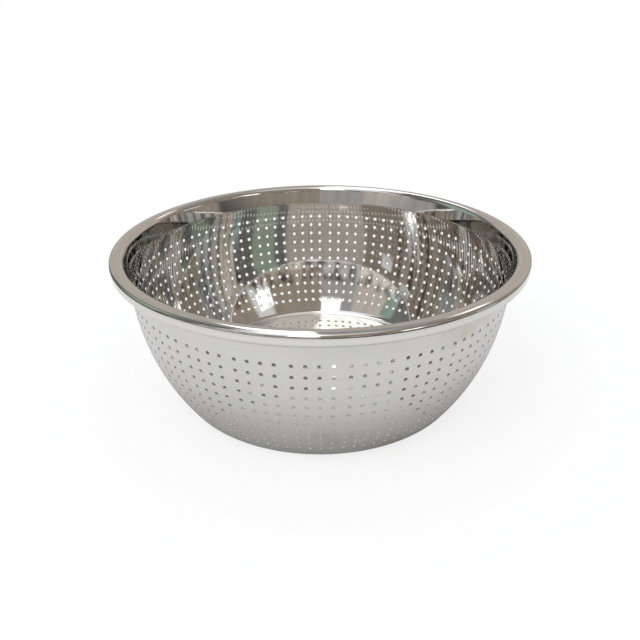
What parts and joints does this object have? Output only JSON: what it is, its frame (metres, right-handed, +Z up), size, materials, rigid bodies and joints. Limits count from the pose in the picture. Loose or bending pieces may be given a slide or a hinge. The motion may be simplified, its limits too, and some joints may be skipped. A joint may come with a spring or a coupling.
{
  "type": "colander",
  "caption": "Round punched steel colander bowl with a flat blind base, a curved perforated wall and a rolled rim over a wire core.",
  "frame": {"origin": "middle of the flat underside of the base, on the face that the bowl rests on", "axes": "+Z up through the open mouth, along the bowl's axis; X and Y level, with no preferred direction"},
  "size_m": [0.3, 0.3, 0.1145],
  "materials": {
    "bowl_steel": "mirror inside and on the rim, fine satin outside",
    "wire_steel": "plain drawn wire"
  },
  "bodies": {
    "root": {"perforated_bowl": "bowl_steel", "rim_wire": "wire_steel"}
  },
  "joints": []
}
